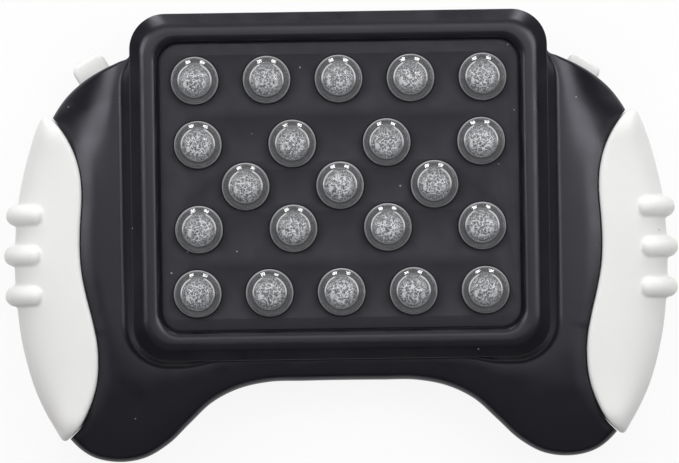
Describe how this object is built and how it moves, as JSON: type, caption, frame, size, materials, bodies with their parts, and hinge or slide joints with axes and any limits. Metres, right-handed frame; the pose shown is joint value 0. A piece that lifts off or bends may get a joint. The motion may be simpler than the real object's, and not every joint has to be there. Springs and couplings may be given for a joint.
{
  "type": "electronic memory game",
  "caption": "Handheld game-pad shaped memory game: dark case with lobes, white ribbed side grips, white shoulder buttons, and rows of clear domed push bubbles on a framed face panel",
  "frame": {"origin": "the middle of the game's outline, on the plane it lies on", "axes": "+X to the game's right grip, +Y to its top edge, +Z out of its face"},
  "size_m": [0.2, 0.1321, 0.035],
  "materials": {
    "case_black": "satin moulded plastic",
    "panel_charcoal": "fine matt texture",
    "grip_white": "smooth satin gloss",
    "bubble_clear": "polished clear dome",
    "well_milky": "milky light guide",
    "board_green": "solder mask",
    "screw_steel": "plated",
    "switch_metal": "pressed tin can",
    "cell_jacket": "plain foil jacket",
    "contact_steel": "nickel plated",
    "speaker_metal": "plated cup",
    "lead_red": "insulated wire",
    "lead_black": "insulated wire"
  },
  "bodies": {
    "case": {"front_shell": "case_black", "rear_shell": "case_black", "left_grip": "grip_white", "right_grip": "grip_white", "face_panel": "panel_charcoal", "light_well_plate": "well_milky", "circuit_board": "board_green", "case_screw_1": "screw_steel", "case_screw_2": "screw_steel", "case_screw_3": "screw_steel", "case_screw_4": "screw_steel", "case_screw_5": "screw_steel", "case_screw_6": "screw_steel", "board_screw_1": "screw_steel", "board_screw_2": "screw_steel", "board_screw_3": "screw_steel", "board_screw_4": "screw_steel", "grip_screw_1": "screw_steel", "grip_screw_2": "screw_steel", "grip_screw_3": "screw_steel", "grip_screw_4": "screw_steel", "left_shoulder_switch": "switch_metal", "right_shoulder_switch": "switch_metal", "battery_1": "cell_jacket", "battery_2": "cell_jacket", "battery_3": "cell_jacket", "battery_contact_positive": "contact_steel", "battery_contact_negative": "contact_steel", "battery_bridge_1": "contact_steel", "battery_bridge_2": "contact_steel", "speaker": "speaker_metal", "speaker_lead_red": "lead_red", "speaker_lead_black": "lead_black"},
    "battery_door": {"battery_door": "case_black", "battery_door_screw": "screw_steel"},
    "bubble_01": {"bubble_01": "bubble_clear"},
    "bubble_02": {"bubble_02": "bubble_clear"},
    "bubble_03": {"bubble_03": "bubble_clear"},
    "bubble_04": {"bubble_04": "bubble_clear"},
    "bubble_05": {"bubble_05": "bubble_clear"},
    "bubble_06": {"bubble_06": "bubble_clear"},
    "bubble_07": {"bubble_07": "bubble_clear"},
    "bubble_08": {"bubble_08": "bubble_clear"},
    "bubble_09": {"bubble_09": "bubble_clear"},
    "bubble_10": {"bubble_10": "bubble_clear"},
    "bubble_11": {"bubble_11": "bubble_clear"},
    "bubble_12": {"bubble_12": "bubble_clear"},
    "bubble_13": {"bubble_13": "bubble_clear"},
    "bubble_14": {"bubble_14": "bubble_clear"},
    "bubble_15": {"bubble_15": "bubble_clear"},
    "bubble_16": {"bubble_16": "bubble_clear"},
    "bubble_17": {"bubble_17": "bubble_clear"},
    "bubble_18": {"bubble_18": "bubble_clear"},
    "bubble_19": {"bubble_19": "bubble_clear"},
    "bubble_20": {"bubble_20": "bubble_clear"},
    "bubble_21": {"bubble_21": "bubble_clear"},
    "left_shoulder_button": {"left_shoulder_button": "grip_white"},
    "right_shoulder_button": {"right_shoulder_button": "grip_white"}
  },
  "joints": [
    {"name": "bubble_01_press", "type": "slide", "parent": "case", "child": "bubble_01", "axis": [0, 0, -1], "range_m": [0, 0.0025], "stiffness_N_per_m": 400, "springref_m": -0.001},
    {"name": "bubble_02_press", "type": "slide", "parent": "case", "child": "bubble_02", "axis": [0, 0, -1], "range_m": [0, 0.0025], "stiffness_N_per_m": 400, "springref_m": -0.001},
    {"name": "bubble_03_press", "type": "slide", "parent": "case", "child": "bubble_03", "axis": [0, 0, -1], "range_m": [0, 0.0025], "stiffness_N_per_m": 400, "springref_m": -0.001},
    {"name": "bubble_04_press", "type": "slide", "parent": "case", "child": "bubble_04", "axis": [0, 0, -1], "range_m": [0, 0.0025], "stiffness_N_per_m": 400, "springref_m": -0.001},
    {"name": "bubble_05_press", "type": "slide", "parent": "case", "child": "bubble_05", "axis": [0, 0, -1], "range_m": [0, 0.0025], "stiffness_N_per_m": 400, "springref_m": -0.001},
    {"name": "bubble_06_press", "type": "slide", "parent": "case", "child": "bubble_06", "axis": [0, 0, -1], "range_m": [0, 0.0025], "stiffness_N_per_m": 400, "springref_m": -0.001},
    {"name": "bubble_07_press", "type": "slide", "parent": "case", "child": "bubble_07", "axis": [0, 0, -1], "range_m": [0, 0.0025], "stiffness_N_per_m": 400, "springref_m": -0.001},
    {"name": "bubble_08_press", "type": "slide", "parent": "case", "child": "bubble_08", "axis": [0, 0, -1], "range_m": [0, 0.0025], "stiffness_N_per_m": 400, "springref_m": -0.001},
    {"name": "bubble_09_press", "type": "slide", "parent": "case", "child": "bubble_09", "axis": [0, 0, -1], "range_m": [0, 0.0025], "stiffness_N_per_m": 400, "springref_m": -0.001},
    {"name": "bubble_10_press", "type": "slide", "parent": "case", "child": "bubble_10", "axis": [0, 0, -1], "range_m": [0, 0.0025], "stiffness_N_per_m": 400, "springref_m": -0.001},
    {"name": "bubble_11_press", "type": "slide", "parent": "case", "child": "bubble_11", "axis": [0, 0, -1], "range_m": [0, 0.0025], "stiffness_N_per_m": 400, "springref_m": -0.001},
    {"name": "bubble_12_press", "type": "slide", "parent": "case", "child": "bubble_12", "axis": [0, 0, -1], "range_m": [0, 0.0025], "stiffness_N_per_m": 400, "springref_m": -0.001},
    {"name": "bubble_13_press", "type": "slide", "parent": "case", "child": "bubble_13", "axis": [0, 0, -1], "range_m": [0, 0.0025], "stiffness_N_per_m": 400, "springref_m": -0.001},
    {"name": "bubble_14_press", "type": "slide", "parent": "case", "child": "bubble_14", "axis": [0, 0, -1], "range_m": [0, 0.0025], "stiffness_N_per_m": 400, "springref_m": -0.001},
    {"name": "bubble_15_press", "type": "slide", "parent": "case", "child": "bubble_15", "axis": [0, 0, -1], "range_m": [0, 0.0025], "stiffness_N_per_m": 400, "springref_m": -0.001},
    {"name": "bubble_16_press", "type": "slide", "parent": "case", "child": "bubble_16", "axis": [0, 0, -1], "range_m": [0, 0.0025], "stiffness_N_per_m": 400, "springref_m": -0.001},
    {"name": "bubble_17_press", "type": "slide", "parent": "case", "child": "bubble_17", "axis": [0, 0, -1], "range_m": [0, 0.0025], "stiffness_N_per_m": 400, "springref_m": -0.001},
    {"name": "bubble_18_press", "type": "slide", "parent": "case", "child": "bubble_18", "axis": [0, 0, -1], "range_m": [0, 0.0025], "stiffness_N_per_m": 400, "springref_m": -0.001},
    {"name": "bubble_19_press", "type": "slide", "parent": "case", "child": "bubble_19", "axis": [0, 0, -1], "range_m": [0, 0.0025], "stiffness_N_per_m": 400, "springref_m": -0.001},
    {"name": "bubble_20_press", "type": "slide", "parent": "case", "child": "bubble_20", "axis": [0, 0, -1], "range_m": [0, 0.0025], "stiffness_N_per_m": 400, "springref_m": -0.001},
    {"name": "bubble_21_press", "type": "slide", "parent": "case", "child": "bubble_21", "axis": [0, 0, -1], "range_m": [0, 0.0025], "stiffness_N_per_m": 400, "springref_m": -0.001},
    {"name": "left_shoulder_press", "type": "slide", "parent": "case", "child": "left_shoulder_button", "axis": [0.5075, -0.8616, 0], "range_m": [0, 0.0025], "stiffness_N_per_m": 400, "springref_m": -0.001},
    {"name": "right_shoulder_press", "type": "slide", "parent": "case", "child": "right_shoulder_button", "axis": [-0.5075, -0.8616, 0], "range_m": [0, 0.0015], "stiffness_N_per_m": 400, "springref_m": -0.001},
    {"name": "battery_door_swing", "type": "hinge", "parent": "case", "child": "battery_door", "pos_m": [0, -0.0127, 0.0004], "axis": [-1, 0, 0], "range_deg": [0, 75]}
  ]
}
